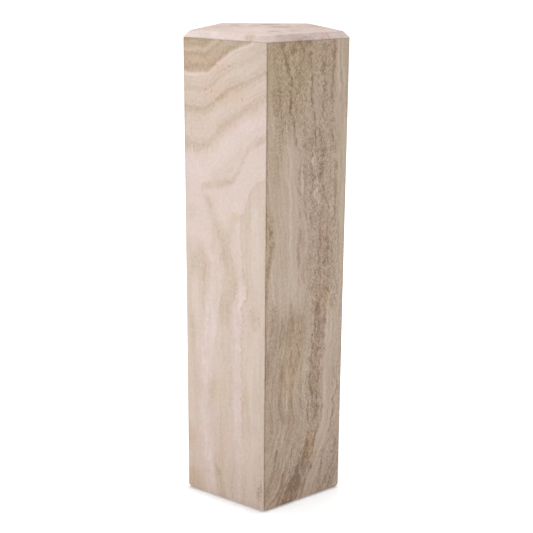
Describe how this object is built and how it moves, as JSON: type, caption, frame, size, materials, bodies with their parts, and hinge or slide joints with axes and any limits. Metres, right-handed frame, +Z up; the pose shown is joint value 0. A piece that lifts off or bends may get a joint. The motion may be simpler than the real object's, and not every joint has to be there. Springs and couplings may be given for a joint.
{
  "type": "pentagonal column",
  "caption": "Tall pentagonal travertine column or pedestal: mitred upright slabs round a hollow shaft, with a bevelled cap slab. Stands on the floor and carries what is set on top.",
  "frame": {"origin": "on the floor, under the middle of the column's bounding box", "axes": "+Z up along the column; the pentagon's front corner points to -Y and its back face looks towards +Y; +X to the right as seen from the front"},
  "size_m": [0.298, 0.2834, 0.9],
  "materials": {
    "pale_travertine": "honed and filled travertine, pale pinkish cream with soft beige bands",
    "brown_travertine": "honed and filled travertine, greige with brown mottled upright veins",
    "side_travertine": "honed and filled travertine, beige with quiet upright bands",
    "cap_travertine": "honed and filled travertine, pale pink with thin grey-brown streaks"
  },
  "bodies": {
    "root": {"front_left_slab": "pale_travertine", "front_right_slab": "brown_travertine", "right_slab": "side_travertine", "back_slab": "side_travertine", "left_slab": "side_travertine", "cap_slab": "cap_travertine"}
  },
  "joints": []
}
